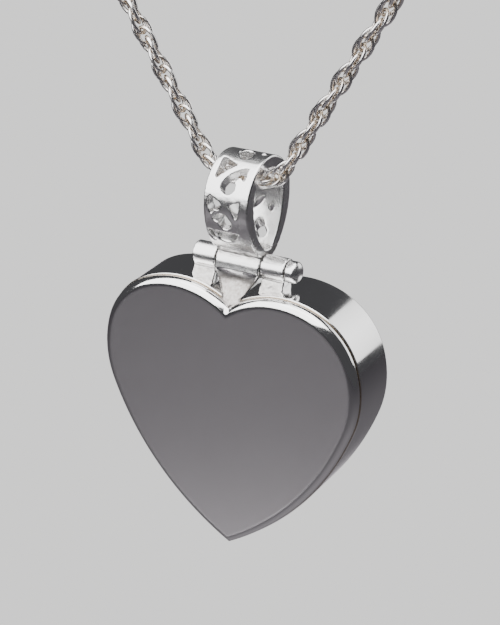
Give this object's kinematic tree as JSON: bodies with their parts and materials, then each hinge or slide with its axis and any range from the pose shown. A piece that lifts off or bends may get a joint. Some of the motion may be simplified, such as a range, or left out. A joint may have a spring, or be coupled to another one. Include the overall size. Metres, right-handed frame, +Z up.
{
  "type": "heart locket",
  "caption": "Hollow heart-shaped locket, hinged at the top, with a pierced scrollwork bail, hanging on a closed loop of rope chain.",
  "frame": {"origin": "the middle of the clasp at the nape, where the hanging loop is held up", "axes": "+Z up, -Y the front that the heart's lid faces, +X to the viewer's right; the chain's loop lies in the X-Z plane"},
  "size_m": [0.1258, 0.0067, 0.2036],
  "materials": {
    "silver": "polished",
    "chain": "polished"
  },
  "bodies": {
    "necklace": {"chain_left": "chain", "chain_right": "chain", "clasp": "silver"},
    "pendant": {"lid_and_bail": "silver"},
    "locket_back": {"case": "silver", "hinge_pin": "silver"}
  },
  "joints": [
    {"name": "pendant_swing", "type": "hinge", "parent": "necklace", "child": "pendant", "pos_m": [0, 0, -0.1721], "axis": [1, 0, 0], "range_deg": [-90, 90]},
    {"name": "locket_hinge", "type": "hinge", "parent": "pendant", "child": "locket_back", "pos_m": [0, -0.00035, -0.17871], "axis": [1, 0, 0], "range_deg": [0, 60]}
  ]
}
